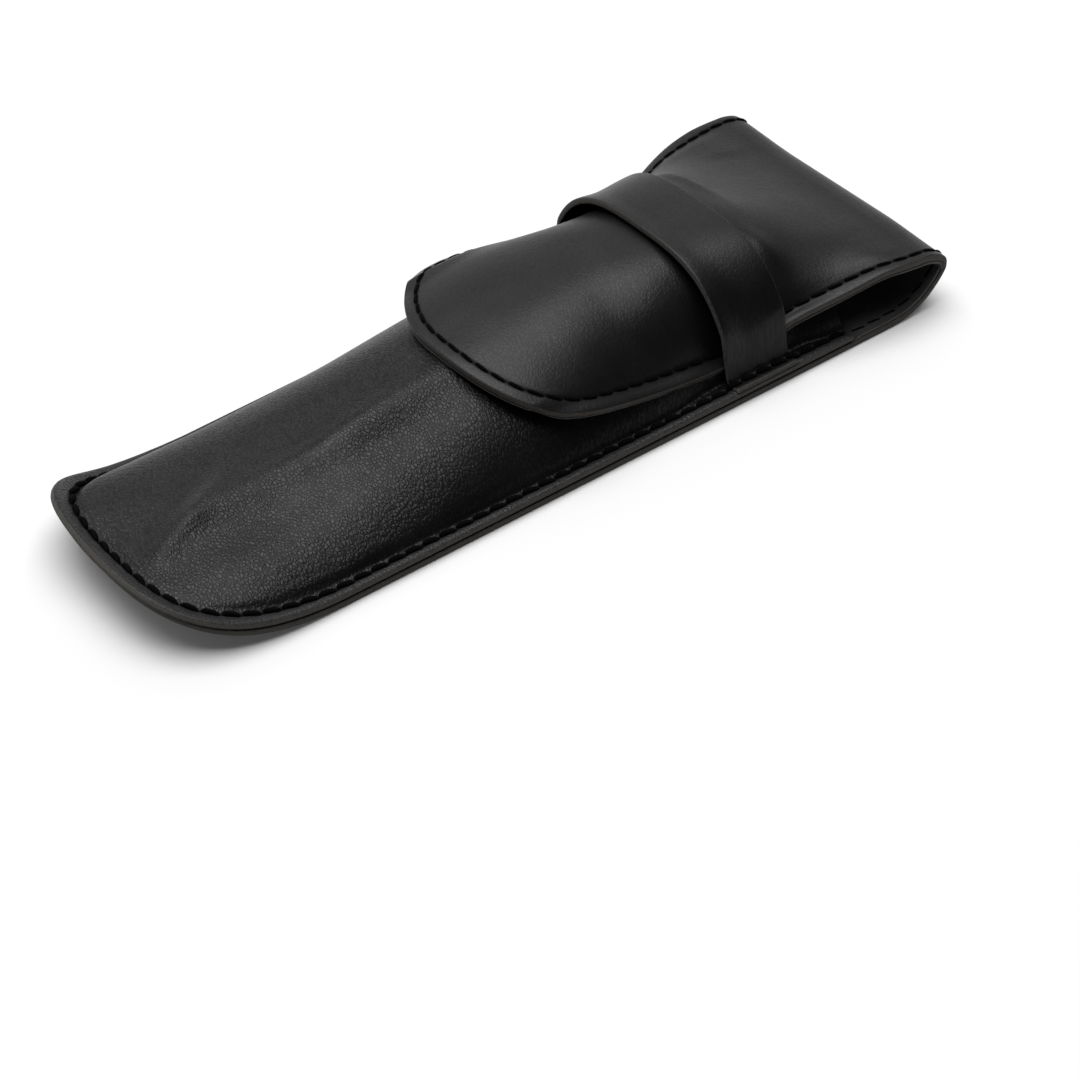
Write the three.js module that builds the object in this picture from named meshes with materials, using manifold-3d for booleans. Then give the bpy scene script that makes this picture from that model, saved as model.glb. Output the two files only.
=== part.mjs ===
// Moulded leather pen pouch with a fold-over flap that tucks under a sewn keeper band.
// Millimetres, +Z up. X runs along the pouch from the closed round end (-X) to the folded
// end (+X), Y across it. The flat back lies on z = 0 and the origin is at the middle of the base.
import * as THREE from 'three';
import { mergeVertices } from 'three/addons/utils/BufferGeometryUtils.js';
import Module from 'manifold-3d';

// ---------------------------------------------------------------- driving dimensions
const LENGTH = 162;            // closed pouch, round end to fold
const HALF_W_END = 25.9;       // half width extrapolated to the round end
const HALF_W_FOLD = 28.15;     // half width at the fold
const END_LEN = 33;            // length of the rounded end
const END_POW = 3.3;           // roundness of the end (2 = ellipse, higher = squarer)
const END_LIFT = 6.5;          // the round end curls up off the table by this much
const T_OUTER = 1.25;          // outer leather, back panel and flap
const T_LINING = 0.6;          // lining leather
const T_FRONT = 1.2;           // moulded front panel
const T_KEEPER = 1.2;          // keeper band
const GAP = 0.2;               // clearance between laid-together pieces
const SEAM_INSET = 1.9;        // stitch line in from the rim
const CREASE_INSET = 2.8;      // where the moulded dome leaves the rim
const X_MOUTH = 139;           // mouth of the pocket, from the round end
const KEEPER_X0 = 112.5;       // keeper band, from the round end
const KEEPER_X1 = 126.3;
const FOLD_R = 6.5;            // outer radius of the fold
const FOLD_SPLIT = 45;         // the fold is hinged at 45 degrees either side of its middle
const TIP_X = 66.6;            // tip of the tongue, from the round end
const TIP_LEN = 17.4;          // length of the tongue's rounded tip
const TIP_POW = 2.9;
const TONGUE_X = 126.8;        // the tongue begins under the keeper
const FLAP_SEAM_INSET = 2.4;
const THREAD_R = 0.25;
// height of the dome above the rim, along the pouch
const DOME = [[2.8, 0], [9, 1.9], [16, 3.9], [26, 6.6], [38, 9.6], [52, 12.4], [68, 14.6], [85, 15.8], [100, 16.5], [113, 17.0], [126, 16.4], [133, 14.4], [139, 12.0], [145, 10]];
// height of the flap's top face on the centre line
const CROWN = [[60, 18.9], [66, 19.5], [80, 20.6], [100, 21.6], [113, 22.1], [126, 21.6], [133, 19.7], [139, 17.5], [146, 14.9], [152, 13.35], [155.5, 13.0], [158, 13.0]];
// how far the flap's arch opens out towards the fold
const OPEN_OUT = [[60, 0], [127, 0], [128.5, 0.03], [131, 0.12], [137, 0.27], [143, 0.9], [150, 3.2], [155.5, 30], [158, 30]];
// half width of the flap, seen from above
const FLAP_W = [[84, 22.1], [86, 22.3], [98, 22.9], [112, 23.2], [126, 23.6], [131, 24.6], [137, 25.7], [146, 27.0], [152, 27.9], [155.5, 28.06], [162, 28.15]];

// ---------------------------------------------------------------- colours
const mat = (hex, rough) => new THREE.MeshStandardMaterial({ color: hex, roughness: rough, metalness: 0 });
const BLACK = () => mat(0x2b2a2c, 0.5), LINING = () => mat(0x1a1919, 0.9), THREAD = () => mat(0x0e0e0f, 0.7), FRONT = () => mat(0x2e2d30, 0.48);

// ---------------------------------------------------------------- curves
function pchip(K) {
  const n = K.length, h = [], s = [], m = new Array(n).fill(0);
  for (let i = 0; i < n - 1; i++) { h.push(K[i + 1][0] - K[i][0]); s.push((K[i + 1][1] - K[i][1]) / h[i]); }
  m[0] = s[0]; m[n - 1] = s[n - 2];
  for (let i = 1; i < n - 1; i++) {
    if (s[i - 1] * s[i] > 0) {
      const a = 2 * h[i] + h[i - 1], b = h[i] + 2 * h[i - 1];
      m[i] = (a + b) / (a / s[i - 1] + b / s[i]);
    }
  }
  return (x) => {
    if (x <= K[0][0]) return K[0][1];
    if (x >= K[n - 1][0]) return K[n - 1][1];
    let i = 0; while (x > K[i + 1][0]) i++;
    const t = (x - K[i][0]) / h[i], t2 = t * t, t3 = t2 * t;
    return (2 * t3 - 3 * t2 + 1) * K[i][1] + (t3 - 2 * t2 + t) * h[i] * m[i] + (-2 * t3 + 3 * t2) * K[i + 1][1] + (t3 - t2) * h[i] * m[i + 1];
  };
}
const dome = pchip(DOME), crown = pchip(CROWN), openOut = pchip(OPEN_OUT), flapW = pchip(FLAP_W);
const clamp = (v, a, b) => Math.min(b, Math.max(a, v));
const smooth = (a, b, x) => { const t = clamp((x - a) / (b - a), 0, 1); return t * t * (3 - 2 * t); };
const halfW = (x) => HALF_W_END + (HALF_W_FOLD - HALF_W_END) * x / LENGTH;
const lift = (x) => END_LIFT * clamp(1 - x / END_LEN, 0, 1) ** 2;
// half width of the pouch outline moved in by d
function outline(x, d) {
  const R = END_LEN - d, W = halfW(END_LEN) - d, u = x - d;
  if (u <= 0) return 0;
  if (u < R) return W * (1 - (1 - u / R) ** END_POW) ** (1 / END_POW);
  return halfW(x) - d;
}
const arch = (t, p, q) => { const a = Math.min(1, Math.abs(t)); return (1 - a ** p) ** (1 / q); };
const squeeze = (x) => 1.5 * smooth(98, 111, x) * (1 - smooth(129, 137, x));
// dome of the front panel; d moves it inwards for its inner faces, base is its foot height
function domeZ(x, y, base, d) {
  const W = outline(x, CREASE_INSET + d) - (x > 90 ? squeeze(x) : 0);
  const k = smooth(80, 106, x), p = 2.44 - 0.14 * k, q = 1.33 - 0.13 * k;
  const t = W > 0.01 ? y / W : 1;
  return lift(x) + base + dome(x) * arch(t, p, q);
}
const RIM = T_OUTER + GAP + T_FRONT;                      // top of the sewn rim
const domeTop = (x, y) => domeZ(x, y, RIM, 0);
const domeBottom = (x, y) => domeZ(x, y, T_OUTER + GAP, T_FRONT);
// top face of flap and tongue
function flapZ(x, y) {
  const k = smooth(70, 105, x), p = 2.6 + 0.4 * k, q = 1.35 + 0.15 * k;
  const W = (halfW(x) - 2.6 - 1.3 * smooth(92, 112, x)) * (1 + openOut(x));
  return 2.9 + (crown(x) - 2.9) * arch(y / W, p, q);
}
const slope = (f, x, y) => { const e = 0.05, a = (f(x + e, y) - f(x - e, y)) / (2 * e), b = (f(x, y + e) - f(x, y - e)) / (2 * e); return Math.sqrt(1 + a * a + b * b); };
// share of the flap's own thickness (outer, gap, lining) kept clear of the dome below
function flapLayer(x, y, share) {
  const want = (T_OUTER + GAP * 0.75 + T_LINING) * Math.min(1.95, slope(flapZ, x, y));
  const floor = x < X_MOUTH + 1.5 ? domeTop(x, y) + 0.45 : 2.4;
  return flapZ(x, y) - share * Math.min(want, Math.max(0.4, flapZ(x, y) - floor));
}
const F_OUT = T_OUTER / (T_OUTER + GAP * 0.75 + T_LINING), F_LIN = (T_OUTER + GAP * 0.75) / (T_OUTER + GAP * 0.75 + T_LINING);

// ---------------------------------------------------------------- closed shells
class Shell {
  constructor() { this.p = []; this.i = []; this.m = new Map(); }
  v(a) {
    const k = a.map((c) => Math.round(c * 2000)).join(',');
    if (!this.m.has(k)) { this.m.set(k, this.p.length / 3); this.p.push(a[0], a[1], a[2]); }
    return this.m.get(k);
  }
  tri(a, b, c) { const A = this.v(a), B = this.v(b), C = this.v(c); if (A !== B && B !== C && A !== C) this.i.push(A, B, C); }
  quad(a, b, c, d) { this.tri(a, b, c); this.tri(a, c, d); }
  // two matching grids of points joined round their borders; skip lists borders left open
  slab(T, B, skip = '') {
    const n = T.length - 1, m = T[0].length - 1;
    for (let i = 0; i < n; i++) for (let j = 0; j < m; j++) {
      this.quad(T[i][j], T[i + 1][j], T[i + 1][j + 1], T[i][j + 1]);
      this.quad(B[i][j], B[i][j + 1], B[i + 1][j + 1], B[i + 1][j]);
    }
    for (let i = 0; i < n; i++) {
      if (!skip.includes('a')) this.quad(T[i][0], B[i][0], B[i + 1][0], T[i + 1][0]);
      if (!skip.includes('b')) this.quad(T[i][m], T[i + 1][m], B[i + 1][m], B[i][m]);
    }
    for (let j = 0; j < m; j++) {
      if (!skip.includes('c')) this.quad(T[0][j], T[0][j + 1], B[0][j + 1], B[0][j]);
      if (!skip.includes('d')) this.quad(T[n][j], B[n][j], B[n][j + 1], T[n][j + 1]);
    }
  }
  geometry() {
    const g = new THREE.BufferGeometry();
    const P = this.p.map((c, k) => (k % 3 === 0 ? c - LENGTH / 2 : c));
    g.setAttribute('position', new THREE.BufferAttribute(new Float32Array(P), 3));
    let vol = 0;
    for (let k = 0; k < this.i.length; k += 3) {
      const [a, b, c] = [this.i[k], this.i[k + 1], this.i[k + 2]].map((q) => new THREE.Vector3(P[3 * q], P[3 * q + 1], P[3 * q + 2]));
      vol += a.dot(b.cross(c));
    }
    if (vol < 0) for (let k = 0; k < this.i.length; k += 3) { const t = this.i[k + 1]; this.i[k + 1] = this.i[k + 2]; this.i[k + 2] = t; }
    g.setIndex(this.i);
    return g;
  }
}

// outline stations from xEnd on one side round the closed end to xEnd on the other
function stations(xs, inset, nEnd, endInset = inset(END_LEN)) {
  const near = [];
  const d = inset(END_LEN), R = END_LEN - endInset, W = halfW(END_LEN) - d;
  for (const x of xs) near.push([x, -(halfW(x) - inset(x)), x, 0]);
  near.push([END_LEN, -W, END_LEN, 0]);
  for (let k = 1; k <= nEnd; k++) {
    const a = (Math.PI / 2) * (1 - k / nEnd);
    near.push([END_LEN - R * Math.cos(a) ** (2 / END_POW), k === nEnd ? 0 : -W * Math.sin(a) ** (2 / END_POW), END_LEN, 0]);
  }
  const far = near.slice(0, -1).reverse().map(([x, y, mx, my]) => [x, -y, mx, my]);
  return near.concat(far);
}
// U-shaped grid: rows follow the outline, columns run in to the middle line
function uGrid(S, insets, inner, fz) {
  return S.map(([x, y, mx]) => {
    const L = Math.hypot(mx - x, y), row = [];
    for (const d of insets) row.push(d / L);
    const last = insets[insets.length - 1] / L;
    for (const k of inner) row.push(last + (1 - last) * k);
    return row.map((t) => { const X = x + (mx - x) * t, Y = y * (1 - t); return [X, t > 0.9999 ? 0 : Y, fz(X, t > 0.9999 ? 0 : Y)]; });
  });
}
const INNER = [0.06, 0.16, 0.32, 0.54, 0.78, 1];
const SIDE_X = [139, 136.5, 134, 131.5, 129, 126.5, 124, 119, 112, 107, 102, 97, 90, 82, 73, 63, 53, 43];

// the leather strip that runs up round the fold: point at angle a (degrees) and radius r
const foldPoint = (a, r, y) => { const t = a * Math.PI / 180; return [LENGTH - FOLD_R + r * Math.cos(t), y, FOLD_R + r * Math.sin(t)]; };
const XF = LENGTH - FOLD_R;
const acrossFold = (k) => { const w = halfW(XF); return INNER_ROW.map((t) => t * (w - k)); };
const INNER_ROW = [-1, -0.93, -0.75, -0.5, -0.25, 0, 0.25, 0.5, 0.75, 0.93, 1];
const CUT = 0.15 / FOLD_R * 180 / Math.PI;                 // half the clearance at each fold line
const FOLD_STEP = 5;

function foldRows(a0, a1, r, inset) {
  const n = Math.ceil(Math.abs(a1 - a0) / (90 / FOLD_STEP / 1.2)), rows = [];
  for (let k = 0; k <= n; k++) rows.push(acrossFold(inset).map((y) => foldPoint(a0 + (a1 - a0) * k / n, r, y)));
  return rows;
}

// ---------------------------------------------------------------- back panel and its lining
function backSheet(z0, z1, inset, endInset) {
  const s = new Shell();
  const S = stations([XF, 148, 140.4, 139.4].concat(endInset ? [139.3] : [], [120, 100, 80, 60, 45]), inset, 12, endInset);
  const T = uGrid(S, [0, 2], [0.16, 0.38, 0.6, 0.8, 1], (x) => lift(x) + z1);
  const B = uGrid(S, [0, 2], [0.16, 0.38, 0.6, 0.8, 1], (x) => lift(x) + z0);
  s.slab(T, B, 'bcd');
  // carry the same cross row on round the lower quarter of the fold
  const row = (G) => G[0].concat(G[G.length - 1].slice(0, -1).reverse());
  const ys = row(T).map((p) => p[1]).reverse();
  const arc = (z) => {
    const rows = [];
    const r = FOLD_R - z, a1 = -FOLD_SPLIT - CUT;
    for (let k = 0; k <= 4; k++) rows.push(ys.map((y) => (k === 0 ? [XF, y, z] : foldPoint(-90 + (a1 + 90) * k / 4, r, y))));
    return rows;
  };
  s.slab(arc(z1), arc(z0), 'c');
  return s.geometry();
}

// ---------------------------------------------------------------- swept thread and groove
class PointCurve extends THREE.CatmullRomCurve3 {        // stepped point by point, so short ramps keep their shape
  getPointAt(u, t) { return this.getPoint(u, t); }
  getTangentAt(u, t) { return this.getTangent(u, t); }
}
function tube(points, r, sides = 6) {
  const sh = new THREE.Shape();
  for (let k = 0; k < sides; k++) { const a = 2 * Math.PI * k / sides; k ? sh.lineTo(r * Math.cos(a), r * Math.sin(a)) : sh.moveTo(r, 0); }
  sh.closePath();
  const c = new PointCurve(points.map((p) => new THREE.Vector3(p[0] - LENGTH / 2, p[1], p[2])), false, 'centripetal');
  const g = new THREE.ExtrudeGeometry(sh, { steps: points.length - 1, bevelEnabled: false, extrudePath: c, curveSegments: 1 });
  g.deleteAttribute('normal'); g.deleteAttribute('uv');
  return mergeVertices(g, 1e-4);
}
const wasm = await Module(); wasm.setup();
const solid = (g) => new wasm.Manifold(new wasm.Mesh({ numProp: 3, vertProperties: Float32Array.from(g.attributes.position.array), triVerts: Uint32Array.from(g.index.array) }));
function carve(g, cutter) {
  const m = solid(g).subtract(solid(cutter)).getMesh();
  const o = new THREE.BufferGeometry();
  o.setAttribute('position', new THREE.BufferAttribute(new Float32Array(m.vertProperties), 3));
  o.setIndex(new THREE.BufferAttribute(new Uint32Array(m.triVerts), 1));
  return o;
}
// stitch line of the body, moved in from the rim, from x0 round the closed end and back
function bodySeam(x0, fz, n = 12) {
  const R = END_LEN - SEAM_INSET, W = halfW(END_LEN) - SEAM_INSET, near = [];
  for (let k = 0; k <= n; k++) { const x = x0 + (END_LEN - x0) * k / n; near.push([x, -(halfW(x) - SEAM_INSET)]); }
  for (let k = 1; k <= 12; k++) {
    const a = (Math.PI / 2) * (1 - k / 12);
    near.push([END_LEN - R * Math.cos(a) ** (2 / END_POW), k === 12 ? 0 : -W * Math.sin(a) ** (2 / END_POW)]);
  }
  const all = near.concat(near.slice(0, -1).reverse().map(([x, y]) => [x, -y]));
  return all.map(([x, y]) => [x, y, fz(x)]);
}

// ---------------------------------------------------------------- the model
const part = new THREE.Group();
function add(name, geometry, material) { const m = new THREE.Mesh(geometry, material); m.name = name; part.add(m); return m; }

// back panel: flat back and the lower quarter of the fold, grooved for the thread below
const backPath = (h) => {
  const p = bodySeam(XF, (x) => lift(x) + h);
  const y = halfW(XF) - SEAM_INSET, arc = [-80, -69, -58, -FOLD_SPLIT - CUT - 1.2];
  const near = arc.slice().reverse().map((a) => foldPoint(a, FOLD_R - h, -y)), far = arc.map((a) => foldPoint(a, FOLD_R - h, y));
  return near.concat(p, far);
};
const backCut = (() => {
  const p = backPath(0.22), y = halfW(XF) - SEAM_INSET;
  return tube([foldPoint(-38, FOLD_R - 0.22, -y)].concat(p.slice(1, -1), [foldPoint(-38, FOLD_R - 0.22, y)]), 0.52, 6);
})();
add('back_panel', carve(backSheet(0, T_OUTER, () => 0), backCut), BLACK());
// the lining lies between the seams in the pocket and runs out to the edges past the mouth
add('back_lining', backSheet(T_OUTER + GAP * 0.75, T_OUTER + GAP * 0.75 + T_LINING, (x) => (x > 139.35 ? 0.6 : 6.6), 11), LINING());
add('body_thread_back', tube(backPath(THREAD_R + 0.03), THREAD_R), THREAD());

// front panel and its lining
{
  const s = new Shell(), S = stations(SIDE_X, () => 0, 12);
  s.slab(uGrid(S, [0, CREASE_INSET], INNER, domeTop), uGrid(S, [0, CREASE_INSET], INNER, domeBottom), 'b');
  add('front_panel', s.geometry(), FRONT());
}
{
  const s = new Shell(), S = stations([137.8].concat(SIDE_X.slice(1)), () => 8, 12, 19);
  const top = (x, y) => domeZ(x, y, T_OUTER, T_FRONT + 0.5) - GAP * 0.5;
  const bot = (x, y) => Math.max(lift(x) + T_OUTER + GAP * 0.75 + T_LINING + 0.25, domeZ(x, y, T_OUTER - 0.1 - T_LINING, T_FRONT + 0.5 + T_LINING));
  const keep = (x, y) => Math.min(bot(x, y), top(x, y) - 0.25);
  s.slab(uGrid(S, [0, 1], INNER.slice(2), top), uGrid(S, [0, 1], INNER.slice(2), keep), 'b');
  add('front_lining', s.geometry(), LINING());
}
// keeper band: over the tongue and down into both side seams
{
  const s = new Shell(), xs = [KEEPER_X0, (KEEPER_X0 * 2 + KEEPER_X1) / 3, (KEEPER_X0 + KEEPER_X1 * 2) / 3, KEEPER_X1];
  const W = halfW(KEEPER_X0);
  const low = (x, y) => RIM + GAP + (crown(x) + GAP + 0.05 - RIM - GAP) * arch(y / (halfW(x) - 3.45), 3.0, 1.5);
  const high = (x, y) => RIM + GAP + T_KEEPER + (crown(x) + GAP + 0.05 - RIM - GAP) * arch(y / (halfW(x) - 2.7), 3.05, 1.55);
  const ts = []; for (let k = 0; k <= 13; k++) ts.push(1 - (1 - k / 13) ** 2);
  const row = (x, f) => {
    const w = halfW(x), cr = w - 2.7, half = ts.map((t) => t * cr).concat([w - 1.4, w]);
    return half.slice().reverse().map((y) => -y).concat(half.slice(1)).map((y) => [x, y, f(x, y)]);
  };
  s.slab(xs.map((x) => row(x, high)), xs.map((x) => row(x, low)));
  add('keeper_band', s.geometry(), BLACK());
}
// needle thread of the body seam, climbing over the keeper's feet and down at the mouth
{
  const h = (x) => {
    const up = smooth(KEEPER_X0 - 1.5, KEEPER_X0 - 0.6, x) * (1 - smooth(KEEPER_X1 + 0.6, KEEPER_X1 + 1.5, x));
    return lift(x) + RIM + 0.12 + THREAD_R + (T_KEEPER + GAP) * up;
  };
  const R = END_LEN - SEAM_INSET, W = halfW(END_LEN) - SEAM_INSET, near = [];
  for (const x of [X_MOUTH - 0.8, 133, 128.4, 127.8, 127.3, 126.9, 126, 119, 113, 111.9, 111.5, 111, 110.4, 104, 92, 80, 68, 56, 44, END_LEN]) near.push([x, -(halfW(x) - SEAM_INSET)]);
  for (let k = 1; k <= 12; k++) {
    const a = (Math.PI / 2) * (1 - k / 12);
    near.push([END_LEN - R * Math.cos(a) ** (2 / END_POW), k === 12 ? 0 : -W * Math.sin(a) ** (2 / END_POW)]);
  }
  const all = near.concat(near.slice(0, -1).reverse().map(([x, y]) => [x, -y]));
  add('body_thread_front', tube(all.map(([x, y]) => [x, y, h(x)]), THREAD_R), THREAD());
}

// spine: the middle half of the fold
const spineY = halfW(XF) - SEAM_INSET;
const foldTube = (a0, a1, h, y, r) => { const p = []; for (let k = 0; k <= 6; k++) p.push(foldPoint(a0 + (a1 - a0) * k / 6, FOLD_R - h, y)); return tube(p, r); };
{
  const a = FOLD_SPLIT - CUT;
  const s = new Shell(); s.slab(foldRows(-a, a, FOLD_R - T_OUTER, 0), foldRows(-a, a, FOLD_R, 0));
  let g = s.geometry();
  for (const y of [-spineY, spineY]) g = carve(g, foldTube(-52, 52, 0.22, y, 0.52));
  add('spine_outer', g, BLACK());
  const l = new Shell(), r1 = FOLD_R - T_OUTER - GAP * 0.75;
  l.slab(foldRows(-a, a, r1 - T_LINING, 0.6), foldRows(-a, a, r1, 0.6));
  add('spine_lining', l.geometry(), LINING());
  add('spine_thread_left', foldTube(-a + 1.2, a - 1.2, THREAD_R + 0.03, -spineY, THREAD_R), THREAD());
  add('spine_thread_right', foldTube(-a + 1.2, a - 1.2, THREAD_R + 0.03, spineY, THREAD_R), THREAD());
}

// flap: the upper quarter of the fold and the panel that comes back over the mouth
const flapRowY = (x, inset, n = 8) => { const w = flapW(x) - inset, o = []; for (let k = -n; k <= n; k++) o.push(Math.sin(k / n * Math.PI / 2 * 0.92) / Math.sin(Math.PI / 2 * 0.92) * w); return o; };
function flapSheet(shareTop, shareBottom, x0, inset) {
  const s = new Shell(), T = [], B = [];
  const xs = [x0, 129, 131.5, 134, 136.5, 139, 140.4, 143, 146, 149, 152, XF];
  for (const x of xs) { const ys = flapRowY(x, inset); T.push(ys.map((y) => [x, y, flapLayer(x, y, shareTop)])); B.push(ys.map((y) => [x, y, flapLayer(x, y, shareBottom)])); }
  const full = T_OUTER + GAP * 0.75 + T_LINING, a0 = FOLD_SPLIT + CUT;
  for (let k = 1; k <= 4; k++) {
    const a = 90 + (a0 - 90) * k / 4, ys = flapRowY(XF, inset);
    T.push(ys.map((y) => foldPoint(a, FOLD_R - full * shareTop, y))); B.push(ys.map((y) => foldPoint(a, FOLD_R - full * shareBottom, y)));
  }
  s.slab(T, B); return s.geometry();
}
const seamY = (x) => flapW(x) - FLAP_SEAM_INSET + (FLAP_SEAM_INSET - SEAM_INSET) * smooth(140, XF, x);
const flapSeam = (sign, h, x0, a1) => {
  const p = []; for (const X of [x0, 127.8, 128.6, 130.5, 133, 135.5, 138, 140.5, 143, 146, 149, 152, XF]) { const x = X, y = sign * seamY(x); p.push([x, y, flapZ(x, y) - h * Math.min(1.95, slope(flapZ, x, y))]); }
  for (const t of [0.25, 0.5, 0.75, 1]) p.push(foldPoint(90 + (a1 - 90) * t, FOLD_R - h, sign * spineY));
  return p;
};
{
  let g = flapSheet(0, F_OUT, TONGUE_X + 0.3, 0);
  for (const sgn of [-1, 1]) g = carve(g, tube(flapSeam(sgn, 0.2, TONGUE_X - 1, FOLD_SPLIT - 6), 0.55));
  add('flap_outer', g, BLACK());
  add('flap_lining', flapSheet(F_LIN, 1, TONGUE_X + 0.3, 0.6), LINING());
  add('flap_thread_left', tube(flapSeam(-1, THREAD_R, TONGUE_X + 0.7, FOLD_SPLIT + CUT + 1.2), THREAD_R * 0.9), THREAD());
  add('flap_thread_right', tube(flapSeam(1, THREAD_R, TONGUE_X + 0.7, FOLD_SPLIT + CUT + 1.2), THREAD_R * 0.9), THREAD());
}
// tongue: the part of the flap that passes under the keeper and lies on the dome
const tongueHalf = (x, d) => {
  const R = TIP_LEN - d, W = flapW(TIP_X + TIP_LEN) - d, u = x - TIP_X - d;
  return u <= 0 ? 0 : u < R ? W * (1 - (1 - u / R) ** TIP_POW) ** (1 / TIP_POW) : flapW(x) - d;
};
function tongueSheet(shareTop, shareBottom, inset) {
  const s = new Shell(), T = [], B = [], R = TIP_LEN - inset, xs = [];
  for (let k = 0; k <= 9; k++) xs.push(TIP_X + TIP_LEN - R * Math.cos(Math.PI / 2 * k / 9) ** (2 / TIP_POW));
  for (const x of [90, 97, 102, 107, 112, 119, 124, TONGUE_X]) xs.push(x);
  xs.forEach((x, k) => {
    const w = k === 0 ? 0 : tongueHalf(x, inset), ys = [];
    for (let j = -8; j <= 8; j++) ys.push(Math.sin(j / 8 * Math.PI / 2 * 0.92) / Math.sin(Math.PI / 2 * 0.92) * w);
    T.push(ys.map((y) => [x, y, flapLayer(x, y, shareTop)])); B.push(ys.map((y) => [x, y, flapLayer(x, y, shareBottom)]));
  });
  s.slab(T, B); return s.geometry();
}
const tongueSeam = (h, xEnd) => {
  const R = TIP_LEN - FLAP_SEAM_INSET, W = flapW(TIP_X + TIP_LEN) - FLAP_SEAM_INSET, near = [];
  for (const x of [xEnd, 124, 119, 114, 109, 104, 99, 94, 89, TIP_X + TIP_LEN]) near.push([x, -tongueHalf(x, FLAP_SEAM_INSET)]);
  for (let k = 1; k <= 12; k++) { const a = (Math.PI / 2) * (1 - k / 12); near.push([TIP_X + TIP_LEN - R * Math.cos(a) ** (2 / TIP_POW), k === 12 ? 0 : -W * Math.sin(a) ** (2 / TIP_POW)]); }
  const all = near.concat(near.slice(0, -1).reverse().map(([x, y]) => [x, -y]));
  return all.map(([x, y]) => [x, y, flapZ(x, y) - h * Math.min(1.95, slope(flapZ, x, y))]);
};
{
  add('tongue_outer', carve(tongueSheet(0, F_OUT, 0), tube(tongueSeam(0.2, TONGUE_X + 1), 0.5)), BLACK());
  add('tongue_lining', tongueSheet(F_LIN, 1, 0.6), LINING());
  add('tongue_thread', tube(tongueSeam(THREAD_R, TONGUE_X - 0.4), THREAD_R * 0.9), THREAD());
}

export default part;
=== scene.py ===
"""Looks for the leather pen pouch: every leather, lining and thread piece is built here in mesh code
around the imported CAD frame. Shapes are worked out in millimetres, with x counted from the round end."""

import math

import bmesh
import bpy
import numpy as np
from mathutils import Matrix, Vector


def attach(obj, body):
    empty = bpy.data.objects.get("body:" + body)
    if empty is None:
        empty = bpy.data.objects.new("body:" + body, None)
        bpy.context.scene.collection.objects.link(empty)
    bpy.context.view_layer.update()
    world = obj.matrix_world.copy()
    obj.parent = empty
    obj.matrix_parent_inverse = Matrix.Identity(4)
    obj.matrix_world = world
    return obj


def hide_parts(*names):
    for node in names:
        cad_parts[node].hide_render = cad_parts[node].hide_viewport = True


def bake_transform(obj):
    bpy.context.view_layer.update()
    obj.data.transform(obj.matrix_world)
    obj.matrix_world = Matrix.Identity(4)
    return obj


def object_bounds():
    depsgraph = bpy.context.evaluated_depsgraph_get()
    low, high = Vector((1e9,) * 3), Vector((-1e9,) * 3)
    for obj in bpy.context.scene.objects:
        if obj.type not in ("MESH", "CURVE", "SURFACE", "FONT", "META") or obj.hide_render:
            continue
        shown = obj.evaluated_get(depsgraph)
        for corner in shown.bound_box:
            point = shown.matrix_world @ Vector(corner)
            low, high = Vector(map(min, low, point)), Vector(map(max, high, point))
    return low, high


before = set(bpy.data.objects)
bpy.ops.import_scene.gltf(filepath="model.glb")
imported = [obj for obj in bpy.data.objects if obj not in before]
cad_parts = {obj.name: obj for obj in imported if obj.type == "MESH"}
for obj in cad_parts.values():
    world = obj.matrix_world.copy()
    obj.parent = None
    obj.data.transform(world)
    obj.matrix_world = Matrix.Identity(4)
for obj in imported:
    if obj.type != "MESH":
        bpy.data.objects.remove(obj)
cad_box = [list(v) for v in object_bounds()]

# ------------------------------------------------------------------ sizes, as in the CAD part
LENGTH = (cad_box[1][0] - cad_box[0][0]) * 1000.0
SHIFT = -cad_box[0][0] * 1000.0
HALF_W_END, HALF_W_FOLD = 25.9, 28.15
END_LEN, END_POW, END_LIFT = 33.0, 3.3, 6.5
RIM = 2.65
X_MOUTH = 139.0
KX0, KX1 = 112.5, 126.3
FOLD_R = 6.5
XF = LENGTH - FOLD_R
QUARTER = FOLD_R * math.pi / 2
TIP_X, TIP_LEN, TIP_POW = 67.8, 21.0, 2.5
SEAM = 1.9
FLAP_SEAM = 2.4
PITCH = 3.4
DOME = [[2.8, 0], [6, 1.7], [9, 3.0], [16, 5.4], [26, 7.4], [38, 9.0], [52, 11.5], [68, 14.1], [85, 15.8], [100, 16.5], [113, 17.0], [126, 16.4], [133, 14.4], [139, 12.0], [145, 10]]
CROWN = [[60, 17.9], [66, 18.6], [72, 19.5], [80, 20.6], [90, 21.4], [100, 21.7], [113, 22.1], [126, 21.7], [129, 21.3], [133, 19.9], [139, 17.5], [146, 14.9], [150, 13.8], [153, 13.25], [155.5, 13.02], [158, 12.9]]
# heights of the flap and tongue along the stitch line and at the cut edge, on the near (-Y) and far sides
SEAM_NEAR = [[60, 13.4], [70, 13.3], [78, 12.9], [83.8, 12.3], [92.2, 10.5], [98.5, 9.3], [105, 8.3], [113.8, 7.2], [120, 7.4], [124, 8.3], [128.6, 9.7], [135, 11.0], [142.2, 12.0], [146, 12.5], [152.7, 13.0], [158, 12.8]]
EDGE_NEAR = [[60, 11.7], [70, 11.7], [78, 11.6], [81.8, 11.3], [87, 10.2], [96.5, 8.1], [107, 6.5], [112, 6.0], [118, 6.4], [124, 7.6], [128.6, 9.6], [135, 10.6], [142, 11.3], [146, 11.9], [150.8, 12.3], [155.5, 12.4], [158, 12.2]]
SEAM_FAR = [[60, 15.0], [68, 14.9], [75, 16.2], [86, 16.7], [98.5, 14.4], [105, 11.4], [112, 8.6], [120, 8.4], [125, 9.6], [129, 11.4], [133, 13.1], [138, 14.3], [143.8, 14.5], [149.5, 14.1], [153.7, 13.8], [158, 13.5]]
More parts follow.
